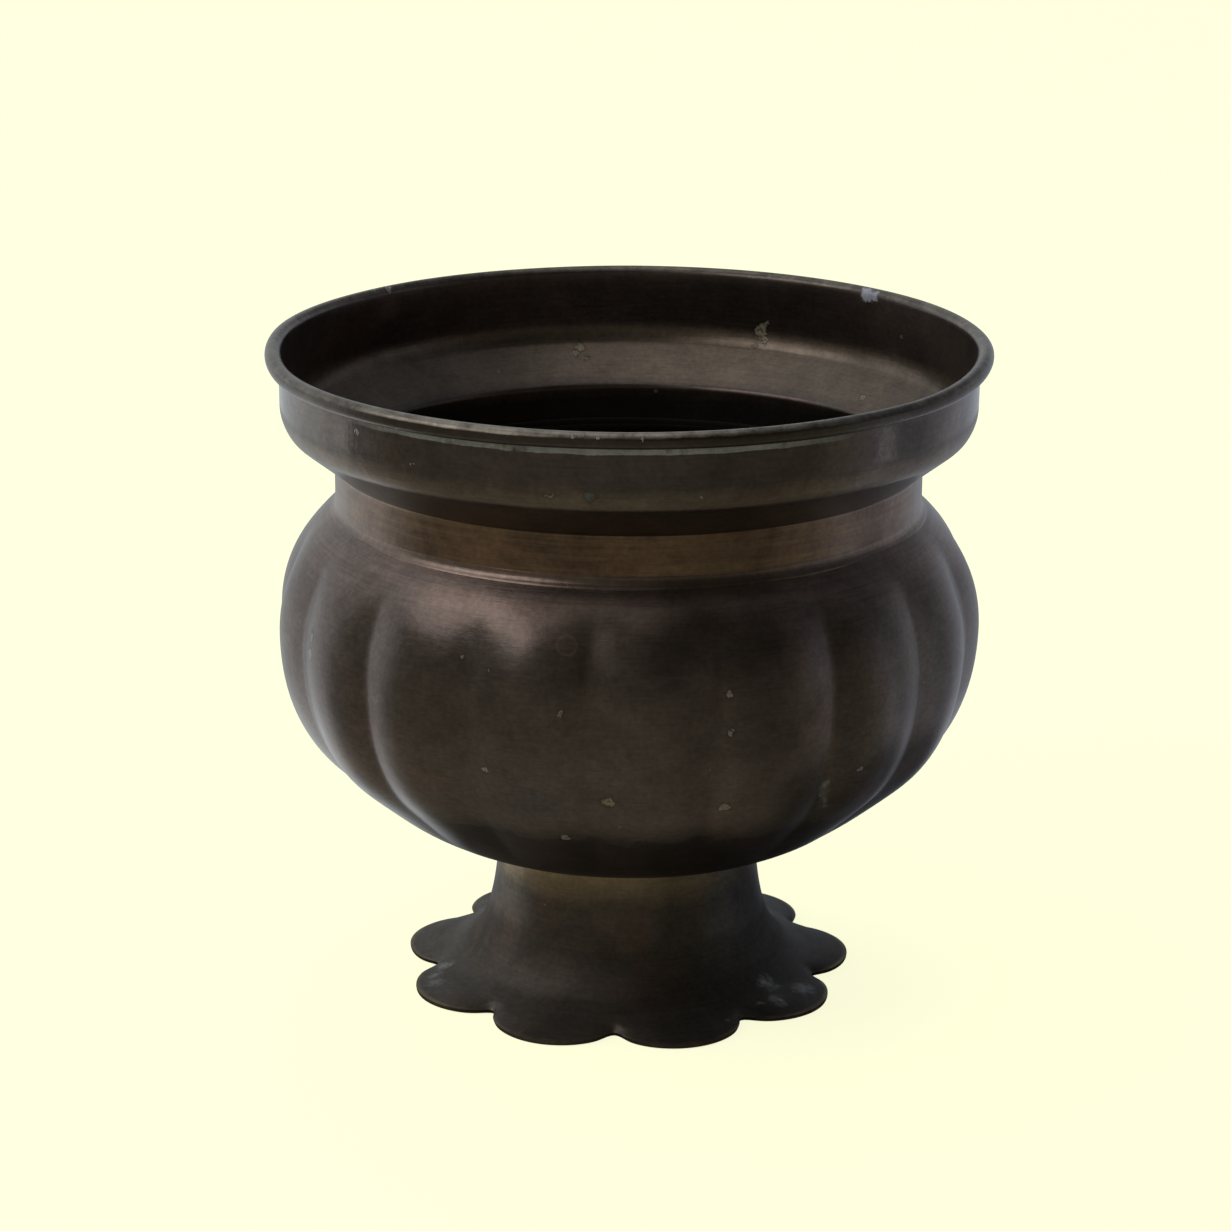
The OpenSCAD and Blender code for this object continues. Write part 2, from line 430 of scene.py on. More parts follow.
def settle(finish):
    """Joins the finished colour, roughness and relief to the shader and returns the material."""
    tree = finish["tree"]
    shader = tree.nodes["Principled BSDF"]
    link = tree.links.new
    relief = node(tree, "Bump")
    relief.inputs["Distance"].default_value = 0.00003
    furrows = maths(tree, "ADD", maths(tree, "MULTIPLY", finish["lines"], 0.5), finish["scratches"])
    link(furrows, relief.inputs["Height"])
    pits = node(tree, "Bump")
    pits.inputs["Distance"].default_value = 0.00012
    pitted = maths(tree, "MULTIPLY", maths(tree, "ADD", finish["blotches"], finish["spots"]), 0.5)
    pitted = maths(tree, "ADD", pitted, maths(tree, "MULTIPLY", finish["grain"], 0.2))
    link(maths(tree, "ADD", pitted, finish["bumps"]), pits.inputs["Height"])
    link(relief.outputs["Normal"], pits.inputs["Normal"])
    colour = blend(tree, "MULTIPLY", 1.0, finish["colour"], finish["mottling"])
    colour = blend(tree, "MIX", maths(tree, "MULTIPLY", finish["specks"], 0.7), colour, (0.50, 0.46, 0.38))
    link(colour, shader.inputs["Base Color"])
    link(finish["rough"], shader.inputs["Roughness"])
    if isinstance(finish["metal"], float):
        shader.inputs["Metallic"].default_value = finish["metal"]
    else:
        link(finish["metal"], shader.inputs["Metallic"])
    link(pits.outputs["Normal"], shader.inputs["Normal"])
    return finish["material"]


def wear(piece, material):
    """Gives the piece this one material."""
    piece.data.materials.clear()
    piece.data.materials.append(material)


bowl_finish = old_brass("bowl_tarnish", dark=(0.170, 0.133, 0.116), middle=(0.202, 0.158, 0.137),
                        worn=(0.236, 0.184, 0.158))
tree = bowl_finish["tree"]
# The shoulder, rubbed coppery in streaks where cloths have gone round it
high_up = maths(tree, "MULTIPLY", maths(tree, "SUBTRACT", bowl_finish["height"], 0.124), 120, clamp=True)
rubbed = ramp(tree, bowl_finish["lines"], [(0.35, 0.1), (0.6, 0.9)])
lay_over(bowl_finish, maths(tree, "MULTIPLY", high_up, rubbed), (0.30, 0.215, 0.180))
# Darker under the bowl, with a ragged upper edge
UNDERSIDE = 0.068
raggedness = maths(tree, "MULTIPLY", bowl_finish["noise"](85, 5, 0.65, offset=3.1), 0.014)
low_down = maths(tree, "SUBTRACT", UNDERSIDE + 0.008, maths(tree, "ADD", bowl_finish["height"], raggedness))
low_down = maths(tree, "MULTIPLY", low_down, 3500, clamp=True)
lay_over(bowl_finish, maths(tree, "MULTIPLY", low_down, 0.50), (0.09, 0.065, 0.055), rough=0.34)
# The part within the collar's band, painted near black and dull as the shade inside the neck
lip_painted_shade = maths(tree, "SUBTRACT", bowl_finish["height"], SEAM_Z + 0.0004)
lip_painted_shade = maths(tree, "MULTIPLY", lip_painted_shade, 4000, clamp=True)
lay_over(bowl_finish, lip_painted_shade, (0.02, 0.016, 0.013), rough=0.8, metal=0.3)
PALE = (0.50, 0.46, 0.38)
CHALK = (0.62, 0.63, 0.60)
# Chips and drops: the turn, radius, height and size of each, in degrees and metres
STRAW = (0.55, 0.48, 0.33)
BOWL_MARKS = [
    (-21, 0.0936, 0.119, 0.0010, PALE), (-16, 0.0957, 0.117, 0.0007, PALE),
    (-4, 0.0972, 0.108, 0.0008, PALE), (-17, 0.0952, 0.090, 0.0010, PALE),
    (3, 0.0930, 0.083, 0.0018, STRAW), (-5, 0.0857, 0.070, 0.0016, PALE),
    (22, 0.0961, 0.112, 0.0012, PALE), (22, 0.0965, 0.102, 0.0011, CHALK),
    (22, 0.0912, 0.080, 0.0017, PALE), (46, 0.0946, 0.085, 0.0010, CHALK),
    (-55, 0.0972, 0.113, 0.0016, CHALK), (-55, 0.0972, 0.108, 0.0019, CHALK)]
for turn, radius, height, size, tint in BOWL_MARKS:
    chip_at(bowl_finish, turn, radius, height, size, tint)
# A dried drop that has left a faint coppery ring
ring = node(tree, "VectorMath", operation="DISTANCE")
tree.links.new(bowl_finish["place"], ring.inputs[0])
ring.inputs[1].default_value = (-0.0061, -0.0918, 0.1248)
ring = ramp(tree, maths(tree, "MULTIPLY", ring.outputs["Value"], 150),
            [(0.0, 0.45), (0.30, 0.35), (0.38, 0.95), (0.46, 0.0)])
lay_over(bowl_finish, ring, (0.34, 0.235, 0.205), rough=0.36)
# Scale down one valley, and a bluish place where water has dried
SCALE_TRAIL = [(40.6, 0.0912, 0.0815), (41.0, 0.0900, 0.0792), (41.5, 0.0885, 0.0770),
               (42.2, 0.0867, 0.0747)]
for turn, radius, height in SCALE_TRAIL:
    patch = spot_at(bowl_finish, turn, radius, height, 0.0019, 0.9)
    patch = maths(tree, "MULTIPLY", patch, bowl_finish["spots"])
    lay_over(bowl_finish, patch, CHALK, rough=0.6, metal=0.4)
dried = maths(tree, "MULTIPLY", spot_at(bowl_finish, -9, 0.0930, 0.082, 0.009, 0.8), 0.4)
lay_over(bowl_finish, dried, (0.15, 0.155, 0.155))
wear(bowl, settle(bowl_finish))
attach(bowl, "root")
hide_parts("bowl")


# ---------------------------------------------------------------- collar
# One spun sheet on the bowl's shoulder: an upright band, a flared underside that turns up through a rounded
# corner into a plain wall, and a rim rolled outwards over a wire until its edge meets the wall again.
collar_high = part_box("collar")[1]
wire_low, wire_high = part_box("rim_wire")
WIRE_R = (wire_high.z - wire_low.z) / 2
BEAD_Z = (wire_high.z + wire_low.z) / 2
BEAD_R = collar_high.x - 0.0001 - WIRE_R - SHEET
NECK_R = 0.0813
BAND_TOP = SEAM_Z + 0.0116
FLARE = (0.094, BAND_TOP + 0.010)
WALL_R = BEAD_R - WIRE_R
CORNER_R = 0.0119
CORNER_Z = FLARE[1] + math.sqrt(CORNER_R ** 2 - (FLARE[0] - WALL_R + CORNER_R) ** 2)


def arc_points(centre, radius, start, end, steps):
    """Points round an arc from the angle start to end, in degrees from straight out, both ends included."""
    angles = [math.radians(start + (end - start) * i / steps) for i in range(steps + 1)]
    return [(centre[0] + radius * math.cos(a), centre[1] + radius * math.sin(a)) for a in angles]


BEND_R = 0.0015
slope = math.degrees(math.atan2(FLARE[1] - BAND_TOP, FLARE[0] - NECK_R))
bend_drop = BEND_R * (1 - math.sin(math.radians(slope))) / math.cos(math.radians(slope))
bend_centre = (NECK_R + BEND_R, BAND_TOP - bend_drop)
corner_start = -math.degrees(math.acos((FLARE[0] - WALL_R + CORNER_R) / CORNER_R))
roll_r = WIRE_R + SHEET - 0.0001
collar_outline = (
    [(NECK_R, SEAM_Z), (NECK_R, SEAM_Z + 0.0006), (NECK_R, SEAM_Z + 0.006)]
    + arc_points(bend_centre, BEND_R, 180, 90 + slope, 3)
    + [((NECK_R + FLARE[0]) / 2, BAND_TOP + 0.0050)]
    + [(FLARE[0] - 0.0009, FLARE[1] - 0.0008)]
    + arc_points((WALL_R - CORNER_R, CORNER_Z), CORNER_R, corner_start, 0, 4)
    + [(WALL_R, (CORNER_Z + BEAD_Z) / 2), (WALL_R, BEAD_Z - 0.0045)]
)
# The sheet is drawn by its outer face. Below the bead it runs up behind the roll and over the wire.
collar_outline += [(WALL_R, BEAD_Z - 0.0018)]
collar_outline += arc_points((BEAD_R, BEAD_Z), roll_r - SHEET, 180, -150, 14)
collar = spun("collar_shell", collar_outline, 96, turn_over=True)
sheet_metal(collar, SHEET, 2, 0.0003, 0.06)

RIM_DENT = 0.0017


def settled(y, z):
    """How far down the front of the old rim has been pressed at this place."""
    return RIM_DENT * ease(0.162, 0.1775, z) * ease(-0.010, 0.055, -y)


# Each point keeps the height it was spun at, because the bands of colour lie round the collar by it
spun_height = collar.data.attributes.new("spun_height", "FLOAT", "POINT")
for vertex in collar.data.vertices:
    spun_height.data[vertex.index].value = vertex.co.z
    vertex.co.z -= settled(vertex.co.y, vertex.co.z)

collar_finish = old_brass("collar_tarnish", dark=(0.162, 0.129, 0.114), middle=(0.190, 0.152, 0.133),
                          worn=(0.220, 0.175, 0.151))
tree = collar_finish["tree"]
as_spun = node(tree, "Attribute")
as_spun.attribute_name = "spun_height"
collar_finish["height"] = as_spun.outputs["Fac"]


def level_band(finish, low, high, blur, wobble=0.0, scale=60):
    """1 between two heights and 0 outside, fading over blur, with edges that wobble."""
    tree = finish["tree"]
    height = finish["height"]
    if wobble:
        shift = maths(tree, "SUBTRACT", finish["noise"](scale, 4, 0.6, offset=5.3), 0.5)
        height = maths(tree, "ADD", height, maths(tree, "MULTIPLY", shift, wobble * 2))
    above = maths(tree, "MULTIPLY", maths(tree, "SUBTRACT", height, low), 1 / blur, clamp=True)
    below = maths(tree, "MULTIPLY", maths(tree, "SUBTRACT", high, height), 1 / blur, clamp=True)
    return maths(tree, "MULTIPLY", above, below)


def along(finish, axis):
    """How far along the X or Y axis a place is."""
    parts = node(finish["tree"], "SeparateXYZ")
    finish["tree"].links.new(finish["place"], parts.inputs[0])
    return parts.outputs[axis]


def beyond(finish, radius, blur):
    """1 outside the radius and 0 inside, fading over blur."""
    tree = finish["tree"]
    return maths(tree, "MULTIPLY", maths(tree, "SUBTRACT", finish["radius"], radius), 1 / blur, clamp=True)


# The upright band, rubbed until warm brass shows through in streaks; fewer at its left and right sides, as
# painted shade
streaks = ramp(tree, collar_finish["noise"](38, 6, 0.65, 0.9, offset=8.2), [(0.30, 0.35), (0.50, 1.0)])
band = level_band(collar_finish, SEAM_Z - 0.001, BAND_TOP + 0.0002, 0.0003)
band = maths(tree, "MULTIPLY", band, beyond(collar_finish, NECK_R - 0.0004, 0.0002))
# Painted shade: the band's left and right sides are left duller and greyer, for the reflection they show
band_side_shade = maths(tree, "SUBTRACT", maths(tree, "ABSOLUTE", along(collar_finish, "X")), 0.030)
band_side_shade = maths(tree, "MULTIPLY", band_side_shade, 30, clamp=True)
band = maths(tree, "MULTIPLY", band, maths(tree, "SUBTRACT", 1.0, maths(tree, "MULTIPLY", band_side_shade, 0.55)))
lay_over(collar_finish, maths(tree, "MULTIPLY", band, streaks), (0.36, 0.220, 0.145), rough=0.28)
browned = ramp(tree, collar_finish["noise"](34, 6, 0.65, 0.8, offset=9.4), [(0.42, 0.0), (0.58, 0.9)])
lay_over(collar_finish, maths(tree, "MULTIPLY", band, browned), (0.17, 0.105, 0.075))
golden = maths(tree, "MULTIPLY", band, ramp(tree, collar_finish["lines"], [(0.45, 0.0), (0.7, 0.7)]))
lay_over(collar_finish, golden, (0.42, 0.31, 0.17))
# Its inner face, painted dark and dull as the shade deep in the neck
inner_face_shade = maths(tree, "SUBTRACT", 1.0, beyond(collar_finish, NECK_R - 0.0008, 0.0003))
inner_face_shade = maths(tree, "MULTIPLY", inner_face_shade, level_band(collar_finish, 0.130, BAND_TOP - 0.0005, 0.003))
lay_over(collar_finish, inner_face_shade, (0.075, 0.064, 0.056), rough=0.45)
# The flared underside, painted darker as the shade under the flare
underside = level_band(collar_finish, BAND_TOP + 0.0004, FLARE[1] - 0.0002, 0.0003)
underside = maths(tree, "MULTIPLY", underside, 0.35)
up_the_flare = maths(tree, "SUBTRACT", collar_finish["height"], BAND_TOP)
flared_out = maths(tree, "MULTIPLY", up_the_flare, (FLARE[0] - NECK_R) / (FLARE[1] - BAND_TOP))
mid_sheet = maths(tree, "ADD", NECK_R - SHEET / 2, flared_out)
outer_side = maths(tree, "SUBTRACT", collar_finish["radius"], mid_sheet)
outer_side = maths(tree, "MULTIPLY", outer_side, 4000, clamp=True)
lay_over(collar_finish, maths(tree, "MULTIPLY", underside, outer_side), (0.10, 0.08, 0.062), rough=0.38)
# The ledge inside, warmer, with dust on it
ledge = maths(tree, "MULTIPLY", level_band(collar_finish, BAND_TOP + 0.001, CORNER_Z, 0.002, 0.002),
              maths(tree, "SUBTRACT", 1.0, outer_side))
lay_over(collar_finish, maths(tree, "MULTIPLY", ledge, 0.5), (0.30, 0.23, 0.165), rough=0.34)
# Chalky polish left under the bead at the front, and gone from it in places
back_from_front = maths(tree, "ADD", along(collar_finish, "Y"), 0.087)
front = maths(tree, "SUBTRACT", 1.0, maths(tree, "MULTIPLY", back_from_front, 60, clamp=True))
unbroken = ramp(tree, collar_finish["noise"](30, 5, 0.7, 0.4, offset=2.6), [(0.50, 1.0), (0.60, 0.0)])
outside = beyond(collar_finish, WALL_R - 0.0004, 0.0002)
crevice = maths(tree, "MULTIPLY", level_band(collar_finish, 0.1779, 0.1801, 0.0002, 0.0005, 130), outside)
crevice = maths(tree, "MULTIPLY", crevice, maths(tree, "MULTIPLY", front, unbroken))
lay_over(collar_finish, crevice, (0.72, 0.74, 0.69), rough=0.6, metal=0.1, bump=0.5)
# The bead, painted dark at its side as shade, with its crown pale and pitted, most of all at the front:
# rubbed wear and also a painted highlight along its top
roll = maths(tree, "MULTIPLY", level_band(collar_finish, BEAD_Z - 0.0024, BEAD_Z + 0.003, 0.0003), outside)
lay_over(collar_finish, maths(tree, "MULTIPLY", roll, 0.7), (0.115, 0.094, 0.076), rough=0.24)
# The crown's pale is partly a painted highlight along the bead's top
crown = level_band(collar_finish, BEAD_Z + 0.0008, BEAD_Z + 0.004, 0.0005, 0.0005, 150)
pitting = ramp(tree, collar_finish["noise"](210, 5, 0.7, offset=4.4), [(0.35, 0.2), (0.6, 1.0)])
crown = maths(tree, "MULTIPLY", crown, pitting)
crown = maths(tree, "MULTIPLY", crown, maths(tree, "ADD", 0.40, maths(tree, "MULTIPLY", front, 0.5)))
lay_over(collar_finish, crown, (0.50, 0.44, 0.36), rough=0.34, bump=-0.5)
# Flakes of old lacquer inside, chips on the rim and a worn place at its back
TAN = (0.58, 0.50, 0.37)
DUSTY_WHITE = (0.75, 0.74, 0.72)
VERDIGRIS = (0.22, 0.24, 0.20)
FLAKES = [
    (160.5, 0.0956, 0.1690, 0.0016, TAN), (161.5, 0.0950, 0.1670, 0.0022, TAN),
    (160.6, 0.0942, 0.1645, 0.0015, TAN), (162.2, 0.0935, 0.1628, 0.0010, TAN),
    (-165, 0.0915, 0.1612, 0.0017, TAN), (-164, 0.0900, 0.1594, 0.0012, TAN),
    (-165.7, 0.0885, 0.1577, 0.0010, TAN), (-127, 0.0962, 0.1836, 0.0015, DUSTY_WHITE),
    (-124, 0.0965, 0.1838, 0.0009, DUSTY_WHITE), (133, 0.0847, 0.1550, 0.0011, PALE),
    (1.5, 0.0992, 0.1836, 0.0008, CHALK), (-0.5, 0.0992, 0.1836, 0.0007, CHALK),
    (-2, 0.0992, 0.1835, 0.0006, CHALK), (8, 0.0995, 0.1834, 0.0009, TAN),
    (14.5, 0.0964, 0.1790, 0.0011, CHALK), (12, 0.0964, 0.1792, 0.0008, PALE),
    (17, 0.0962, 0.1650, 0.0008, CHALK), (30, 0.0964, 0.1786, 0.0010, TAN),
    (-41, 0.0962, 0.1760, 0.0010, PALE), (-29, 0.0962, 0.1700, 0.0007, PALE),
    (0, 0.0962, 0.1660, 0.0018, VERDIGRIS), (-6, 0.0961, 0.1650, 0.0012, PALE)]
for turn, radius, height, size, tint in FLAKES:
    height -= settled(-radius * math.cos(math.radians(turn)), height)
    chip_at(collar_finish, turn, radius, height, size, tint)
worn_back = maths(tree, "MULTIPLY", spot_at(collar_finish, -126, 0.0952, 0.179, 0.006, 0.7), 0.6)
lay_over(collar_finish, worn_back, (0.30, 0.20, 0.16), rough=0.5)
# A painted glint on the rim, inside at the back: a bright violet-white spot for the window's reflection
# there
rim_painted_glint = maths(tree, "MAXIMUM", spot_at(collar_finish, 139.5, 0.0955, 0.1826, 0.0024, 0.3),
                   spot_at(collar_finish, 137.6, 0.0955, 0.1826, 0.0022, 0.3))
lay_over(collar_finish, rim_painted_glint, (0.80, 0.79, 0.92), rough=0.5, metal=0.2, bump=0.5)
# The wall mirrors more sharply than the rest
smooth_wall = maths(tree, "MULTIPLY", level_band(collar_finish, CORNER_Z, 0.180, 0.002), outside)
lay_over(collar_finish, maths(tree, "MULTIPLY", smooth_wall, 0.9), None, rough=0.08)
wear(collar, settle(collar_finish))
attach(collar, "root")
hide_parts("collar")


# ---------------------------------------------------------------- foot
# A trumpet of sheet, soldered under the bowl. Its edge is cut into nine round petals, which slope down to
# the ground, with a notch filed between each pair.
PETALS = 9
STEPS_PER_PETAL = 12
FOOT_TURN = 2.5
FOOT_SHEET = 0.0012
foot_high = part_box("foot")[1]
PETAL_CENTRE = 0.0445
PETAL_R = 0.020
PETAL_ROOT = (0.0525, FOOT_SHEET + 0.0026)
FOOT_TOP_R = 0.0365
# How much deeper each notch is cut than where its two petals' rounds meet
NOTCH_CUT = 0.0022


def petal_edge(turn):
    """How far from the axis the foot's edge is at this turn from the front, in degrees."""
    pitch = 360 / PETALS
    off = math.radians((turn - FOOT_TURN) % pitch - pitch / 2)
    across = PETAL_CENTRE * math.sin(off)
    return PETAL_CENTRE * math.cos(off) + math.sqrt(PETAL_R ** 2 - across ** 2)


foot_outline = curve_points([(FOOT_TOP_R, foot_high.z), (FOOT_TOP_R + 0.001, foot_high.z - 0.019),
                             (FOOT_TOP_R + 0.003, PETAL_ROOT[1] + 0.0036), PETAL_ROOT], 9)
foot_outline += [PETAL_ROOT, (0.0565, 0.0031), (0.0605, 0.0019), (0.0634, 0.0014)]
foot = spun("foot_trumpet", foot_outline, PETALS * STEPS_PER_PETAL)
rim_rings = [r for r, z in foot_outline if r > PETAL_ROOT[0] - 1e-6]
for step in range(PETALS * STEPS_PER_PETAL):
    line_turn = step * 360 / (PETALS * STEPS_PER_PETAL)
    edge_r = petal_edge(line_turn + FOOT_TURN)
    if step % STEPS_PER_PETAL == 0:
        edge_r -= NOTCH_CUT
    for ring in rim_rings[1:]:
        share = (ring - rim_rings[0]) / (rim_rings[-1] - rim_rings[0])
        wanted = rim_rings[0] + share * (edge_r - rim_rings[0])

        def on_line(co):
            gap = (turn_of(co) - line_turn + 180) % 360 - 180
            return abs(gap) < 0.1 and abs(co.xy.length - ring) < 1e-5

        edit(foot, verts=on_line)
        bpy.ops.transform.resize(value=(wanted / ring, wanted / ring, 1), center_override=(0, 0, 0))

edit(foot, verts=lambda co: True)
bpy.ops.transform.rotate(value=-math.radians(FOOT_TURN), orient_axis="Z", center_override=(0, 0, 0))
sheet_metal(foot, FOOT_SHEET, 2, 0.0003, 0.03, edge=0.75)
rubbed_edge = foot.data.attributes.new("rubbed_edge", "FLOAT", "POINT")
for vertex in foot.data.vertices:
    reach = petal_edge(turn_of(vertex.co)) - vertex.co.xy.length
    rubbed_edge.data[vertex.index].value = 1 - ease(0.0004, 0.0016, reach)

foot_finish = old_brass("foot_tarnish", dark=(0.115, 0.098, 0.084), middle=(0.155, 0.128, 0.106),
                        worn=(0.205, 0.165, 0.130), roughness=0.36)
tree = foot_finish["tree"]
tree.nodes["Principled BSDF"].inputs["Specular Tint"].default_value = (0.45, 0.45, 0.45, 1)
# Warm brass under the bowl, where hands don't reach and polish stays
upper = level_band(foot_finish, 0.030, 0.060, 0.010, 0.006, 50)
lay_over(foot_finish, maths(tree, "MULTIPLY", upper, 0.85), (0.46, 0.345, 0.21))
# The petals, dulled by standing in water: greyer, with a soft sheen
spread = beyond(foot_finish, 0.0445, 0.006)
lay_over(foot_finish, maths(tree, "MULTIPLY", spread, 0.8), (0.190, 0.165, 0.140), rough=0.48, metal=0.45)
# The right half is painted darker and greyer as shade, and the flare between petals and trumpet the dullest
right_half_shade = maths(tree, "MULTIPLY", along(foot_finish, "X"), 30, clamp=True)
lay_over(foot_finish, maths(tree, "MULTIPLY", right_half_shade, 0.55), (0.070, 0.066, 0.066))
lay_over(foot_finish, level_band(foot_finish, 0.0045, 0.022, 0.004), None, rough=0.56)
# Limescale on the petals: the turn, radius, height and size of each patch
LIMESCALE = [
    (-70, 0.0535, 0.0035, 0.0036), (-66, 0.0570, 0.0025, 0.0032), (-61, 0.0590, 0.0018, 0.0034),
    (-75, 0.0590, 0.0018, 0.0015), (60, 0.0490, 0.0050, 0.0044), (56, 0.0555, 0.0030, 0.0036),
    (68, 0.0565, 0.0026, 0.0044), (50, 0.0540, 0.0032, 0.0014), (36, 0.0560, 0.0028, 0.0012),
    (76, 0.0600, 0.0016, 0.0020)]
thin = ramp(tree, foot_finish["noise"](240, 5, 0.7, 0.5, offset=6.1), [(0.40, 0.1), (0.62, 1.0)])
for turn, radius, height, size in LIMESCALE:
    patch = maths(tree, "MULTIPLY", spot_at(foot_finish, turn, radius, height, size, 0.8), thin)
    patch = maths(tree, "MULTIPLY", patch, 0.95)
    lay_over(foot_finish, patch, (0.62, 0.64, 0.64), rough=0.6, metal=0.15, bump=0.4)
# Edges rubbed to bare brass
edge = node(tree, "Attribute")
edge.attribute_name = "rubbed_edge"
patchy = ramp(tree, foot_finish["noise"](90, 4, 0.6, offset=7.7), [(0.3, 0.3), (0.6, 1.0)])
bare = maths(tree, "MULTIPLY", edge.outputs["Fac"], patchy)
lay_over(foot_finish, maths(tree, "MULTIPLY", bare, 0.8), (0.45, 0.36, 0.24), rough=0.35, metal=0.9)
wear(foot, settle(foot_finish))
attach(foot, "root")
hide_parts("foot")


# ---------------------------------------------------------------- seams and wire
# The two seams are rings of old brazing, filed smooth: a hollow fillet below the collar's band and a narrow
# one round the foot. The iron wire stays shut inside the rolled rim, pressed down at the front with it.
# The brazing's tarnish is painted lighter than the bowl's, a painted sheen that brightens the highlight just
# below the collar's band
seam_sheen_finish = old_brass("seam_solder_tarnish_and_sheen", dark=(0.20, 0.150, 0.126), middle=(0.290, 0.215, 0.178),
                        worn=(0.38, 0.275, 0.225), roughness=0.28)
seam_paint = settle(seam_sheen_finish)
FILLET_R = 0.0034
# How steeply the shoulder falls from the seam
SHOULDER_SLOPE = math.radians(38.5)
joint = (NECK_R, SEAM_Z - 0.0008)
run = FILLET_R / math.tan((math.pi / 2 + SHOULDER_SLOPE) / 2)
hollow = (NECK_R + FILLET_R, joint[1] + run)
seam_outline = arc_points(hollow, FILLET_R, 180, 180 + 90 - math.degrees(SHOULDER_SLOPE), 5)
seam_outline = [(NECK_R - 0.0004, hollow[1] + 0.0003)] + seam_outline
seam_outline += [(seam_outline[-1][0] + 0.0006, seam_outline[-1][1] - 0.0009)]
seam_outline += [(NECK_R - 0.0004, joint[1] - 0.0012), seam_outline[0]]
neck_seam = spun("neck_seam", seam_outline, 96)
filed = neck_seam.modifiers.new("smooth", "SUBSURF")
filed.levels = filed.render_levels = 2
apply_all(neck_seam)
bpy.ops.object.shade_smooth_by_angle(angle=math.radians(60))
wear(neck_seam, seam_paint)
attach(neck_seam, "root")
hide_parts("neck_solder")
wear(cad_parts["foot_solder"], seam_paint)
wire_finish = old_brass("rim_wire_iron", dark=(0.08, 0.07, 0.065), middle=(0.16, 0.15, 0.14),
                        worn=(0.24, 0.22, 0.20))
bpy.ops.object.select_all(action="DESELECT")
bpy.ops.mesh.primitive_torus_add(major_radius=BEAD_R, minor_radius=WIRE_R, major_segments=96,
                                 minor_segments=16, location=(0, 0, BEAD_Z))
bpy.ops.object.transform_apply(location=True)
wire = bpy.context.object
wire.name = "rim_wire_ring"
for vertex in wire.data.vertices:
    vertex.co.z -= settled(vertex.co.y, vertex.co.z)
bpy.ops.object.shade_smooth()
wear(wire, settle(wire_finish))
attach(wire, "root")
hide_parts("rim_wire")


# ---------------------------------------------------------------- floor and light
# A plain pale floor and backdrop, and one soft window high on the left in front. The metal mirrors a pale
# room that is brighter behind the object, most of all on the left, with a soft light in its ceiling.
bpy.ops.object.select_all(action="DESELECT")
bpy.ops.mesh.primitive_circle_add(vertices=96, radius=6, fill_type="NGON", location=(0, 0, 0))
floor = bpy.context.object
floor.name = "floor"
# How bright the mirrored table top is at a distance from the middle, in metres: dark under the bowl
TABLE_FADE = [(0.0, 0.07), (0.06, 0.14), (0.095, 1.4), (0.19, 1.5), (0.28, 1.05), (1.0, 1.0)]
# How bright the room is to the left and to the right, from the front (0) round to the back (1)
LEFT_ROOM = [(0.0, 0.13), (0.34, 0.14), (0.41, 0.21), (0.495, 0.30), (0.505, 0.62), (0.56, 0.66),
             (0.585, 0.56), (0.65, 0.74), (0.75, 0.70), (1.0, 0.6)]
RIGHT_ROOM = [(0.0, 0.12), (0.10, 0.085), (0.25, 0.095), (0.35, 0.165), (0.49, 0.23), (0.505, 0.50),
              (0.545, 0.36), (0.56, 0.21), (0.68, 0.24), (0.78, 0.38), (1.0, 0.5)]
# The bowl's own shadow on the table, to its right
BOWL_SHADOW = (0.12, 0.01, 0)
CREAM = (1.0, 0.98, 0.80)
COOL = (0.92, 1.0, 1.04)
BLUISH = (0.88, 0.97, 1.12)

floor_paint = bpy.data.materials.new("floor_paint")
floor_paint.use_nodes = True
tree = floor_paint.node_tree
shader = tree.nodes["Principled BSDF"]
shader.inputs["Base Color"].default_value = (0.80, 0.80, 0.30, 1)
shader.inputs["Roughness"].default_value = 0.9
shader.inputs["Specular IOR Level"].default_value = 0.1
shader.inputs["Emission Color"].default_value = (1.0, 1.0, 0.75, 1)
shader.inputs["Emission Strength"].default_value = 0.9


def room_light(tree, direction):
    """The light that reaches the object from a direction, by where it lies round the object."""
    parts = node(tree, "SeparateXYZ")
    tree.links.new(direction, parts.inputs[0])
    level = node(tree, "CombineXYZ")
    tree.links.new(parts.outputs["X"], level.inputs["X"])
    tree.links.new(parts.outputs["Y"], level.inputs["Y"])
    unit = node(tree, "VectorMath", operation="NORMALIZE")
    tree.links.new(level.outputs[0], unit.inputs[0])
    parts = node(tree, "SeparateXYZ")
    tree.links.new(unit.outputs[0], parts.inputs[0])
    behind = maths(tree, "ADD", maths(tree, "MULTIPLY", parts.outputs["Y"], 0.5), 0.5)
    rightwards = maths(tree, "ADD", maths(tree, "MULTIPLY", parts.outputs["X"], 2.0), 0.5, clamp=True)
    left_tint = ramp(tree, behind, [(0.35, CREAM), (0.5, COOL)])
    left = blend(tree, "MULTIPLY", 1.0, ramp(tree, behind, LEFT_ROOM), left_tint)
    right_tint = ramp(tree, behind, [(0.35, CREAM), (0.5, BLUISH)])
    right = blend(tree, "MULTIPLY", 1.0, ramp(tree, behind, RIGHT_ROOM), right_tint)
    return blend(tree, "MIX", rightwards, left, right)


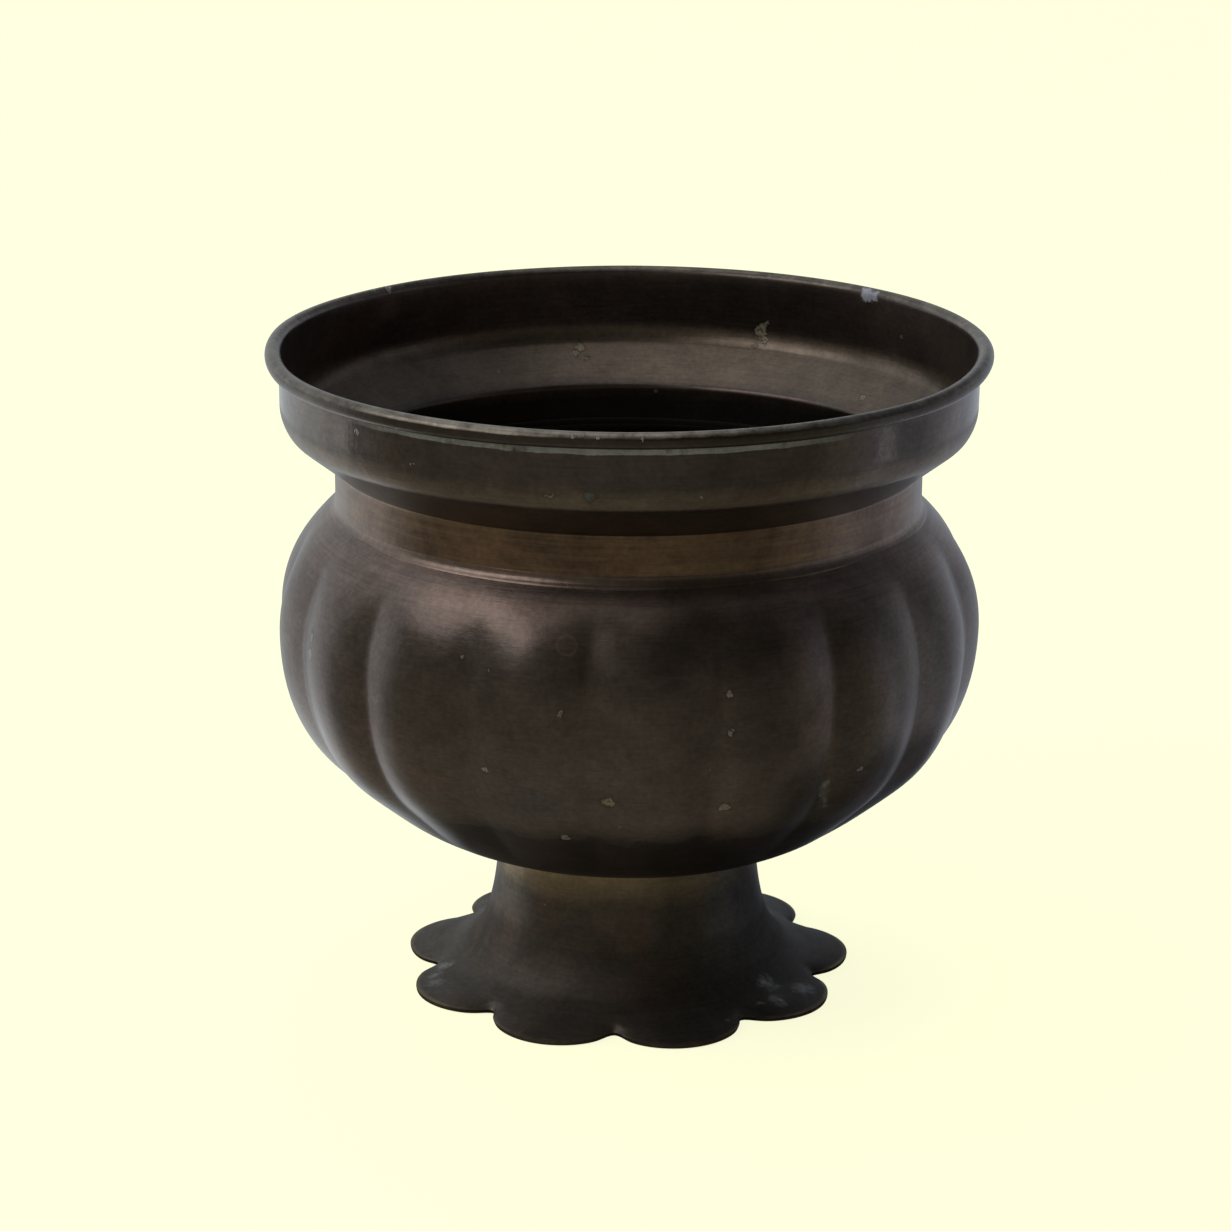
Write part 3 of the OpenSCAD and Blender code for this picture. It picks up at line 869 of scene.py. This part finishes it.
# What the metal mirrors: a pale table top, dark under the bowl, in a room with windows at both sides
table = node(tree, "Emission")
spot = node(tree, "TexCoord").outputs["Object"]
reach = node(tree, "VectorMath", operation="LENGTH")
tree.links.new(spot, reach.inputs[0])
faded = ramp(tree, reach.outputs["Value"], TABLE_FADE)
mirrored = blend(tree, "MULTIPLY", 1.0, room_light(tree, spot), faded)
gap = node(tree, "VectorMath", operation="DISTANCE")
tree.links.new(spot, gap.inputs[0])
gap.inputs[1].default_value = BOWL_SHADOW
shadow = ramp(tree, gap.outputs["Value"], [(0.06, 0.22), (0.11, 1.0)])
mirrored = blend(tree, "MULTIPLY", 1.0, mirrored, shadow)
tree.links.new(mirrored, table.inputs["Color"])
seen = node(tree, "LightPath").outputs["Is Camera Ray"]
either = node(tree, "MixShader")
tree.links.new(seen, either.inputs[0])
tree.links.new(table.outputs[0], either.inputs[1])
tree.links.new(shader.outputs[0], either.inputs[2])
tree.links.new(either.outputs[0], tree.nodes["Material Output"].inputs["Surface"])
wear(floor, floor_paint)

world = bpy.data.worlds.new("studio")
world.use_nodes = True
tree = world.node_tree
room = tree.nodes["Background"]
room.inputs["Strength"].default_value = 1.0
split = node(tree, "SeparateXYZ")
way = node(tree, "TexCoord").outputs["Generated"]
tree.links.new(way, split.inputs[0])
left_fade = ramp(tree, split.outputs["Z"], [(0.0, 0.9), (0.3, 0.75), (0.8, 0.55)])
right_fade = ramp(tree, split.outputs["Z"], [(0.0, 0.9), (0.2, 0.7), (0.42, 0.28), (0.8, 0.22)])
rightwards = maths(tree, "ADD", maths(tree, "MULTIPLY", split.outputs["X"], 2.5), 0.3, clamp=True)
upwards = blend(tree, "MIX", rightwards, left_fade, right_fade)
sides = blend(tree, "MULTIPLY", 1.0, room_light(tree, way), upwards)
above = ramp(tree, split.outputs["Z"], [(0.80, 0.0), (0.98, 0.28)])
above = blend(tree, "MULTIPLY", 1.0, above, ramp(tree, rightwards, [(0.5, 1.0), (1.0, 0.35)]))
tree.links.new(blend(tree, "ADD", 1.0, sides, above), room.inputs["Color"])
backdrop = node(tree, "Background")
backdrop.inputs["Color"].default_value = (1.0, 1.0, 0.80, 1)
either = node(tree, "MixShader")
tree.links.new(node(tree, "LightPath").outputs["Is Camera Ray"], either.inputs[0])
tree.links.new(room.outputs[0], either.inputs[1])
tree.links.new(backdrop.outputs[0], either.inputs[2])
tree.links.new(either.outputs[0], tree.nodes["World Output"].inputs["Surface"])
bpy.context.scene.world = world


# The window is a softbox that faces the middle of the bowl
KEY_PLACE = Vector((-1.22, -0.76, 1.38))
BOWL_MIDDLE = Vector((0, 0, 0.1))
lamp = bpy.data.lights.new("key", "AREA")
lamp.shape = "RECTANGLE"
lamp.size = 1.55
lamp.size_y = 0.85
lamp.energy = 3.9
lamp.color = (0.97, 0.97, 1.0)
key = bpy.data.objects.new("key", lamp)
bpy.context.collection.objects.link(key)
key.location = KEY_PLACE
key.rotation_euler = (BOWL_MIDDLE - KEY_PLACE).to_track_quat("-Z", "Y").to_euler()

bpy.context.scene.view_settings.view_transform = "Standard"
